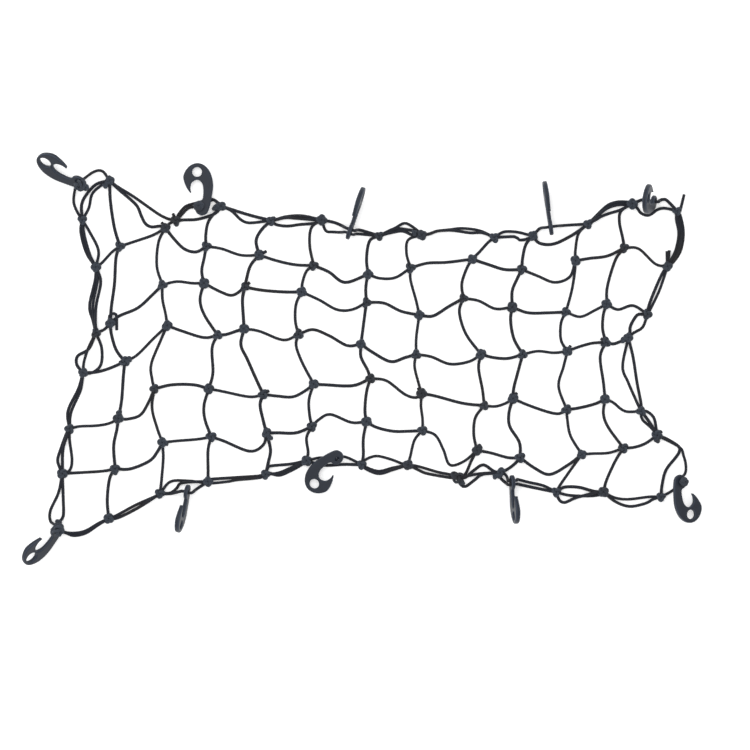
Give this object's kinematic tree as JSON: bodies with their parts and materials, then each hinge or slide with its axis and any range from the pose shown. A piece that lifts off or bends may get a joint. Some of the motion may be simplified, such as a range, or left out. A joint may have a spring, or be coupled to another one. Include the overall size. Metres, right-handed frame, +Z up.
{
  "type": "cargo net",
  "caption": "Elastic cargo net of knotted cord laid flat, with a doubled edge cord and flat moulded hooks threaded on it.",
  "frame": {"origin": "on the floor under the middle of the whole outline, hooks included", "axes": "+X along the net's long side, +Y across it, +Z up from the floor it lies on"},
  "size_m": [0.8514, 0.5122, 0.0644],
  "materials": {
    "elastic_cord": "woven sheath over rubber, matt",
    "hook_nylon": "moulded, low sheen"
  },
  "bodies": {
    "root": {"net": "elastic_cord", "hook_a": "hook_nylon", "hook_b": "hook_nylon", "hook_c": "hook_nylon", "hook_d": "hook_nylon", "hook_e": "hook_nylon", "hook_f": "hook_nylon", "hook_g": "hook_nylon", "hook_h": "hook_nylon", "hook_i": "hook_nylon", "hook_j": "hook_nylon"}
  },
  "joints": []
}
